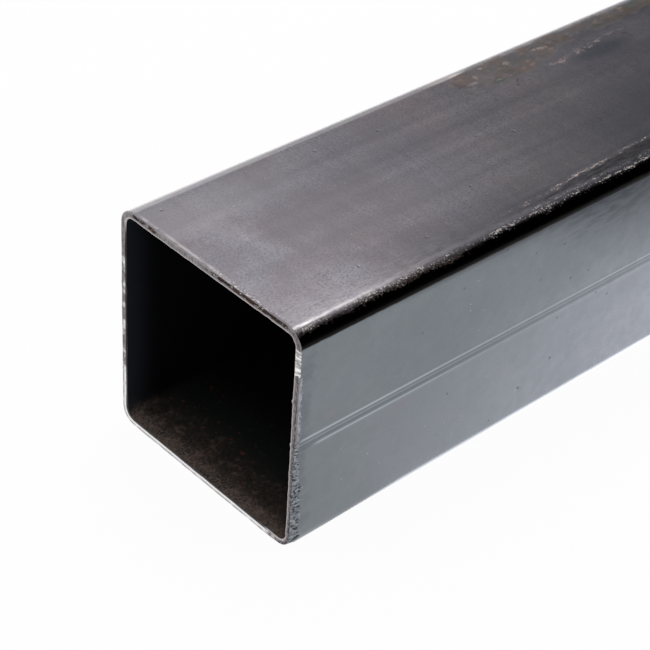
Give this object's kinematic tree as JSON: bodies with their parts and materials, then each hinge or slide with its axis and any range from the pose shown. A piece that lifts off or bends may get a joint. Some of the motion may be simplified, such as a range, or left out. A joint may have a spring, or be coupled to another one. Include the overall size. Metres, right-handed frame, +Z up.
{
  "type": "square metal tube",
  "caption": "Cold-formed square steel tube with rolled corners, a planed weld down one wall and sawn ends, for frames, posts and rails.",
  "frame": {"origin": "middle of the flat wall that the tube lies on", "axes": "+X along the tube, from the cut end that shows to the far end; +Z up; the wall with the weld faces -Y"},
  "size_m": [1, 0.1001, 0.1],
  "materials": {
    "mill_steel": "dark mill scale, satin, with a little rust"
  },
  "bodies": {
    "root": {"square_tube": "mill_steel"}
  },
  "joints": []
}
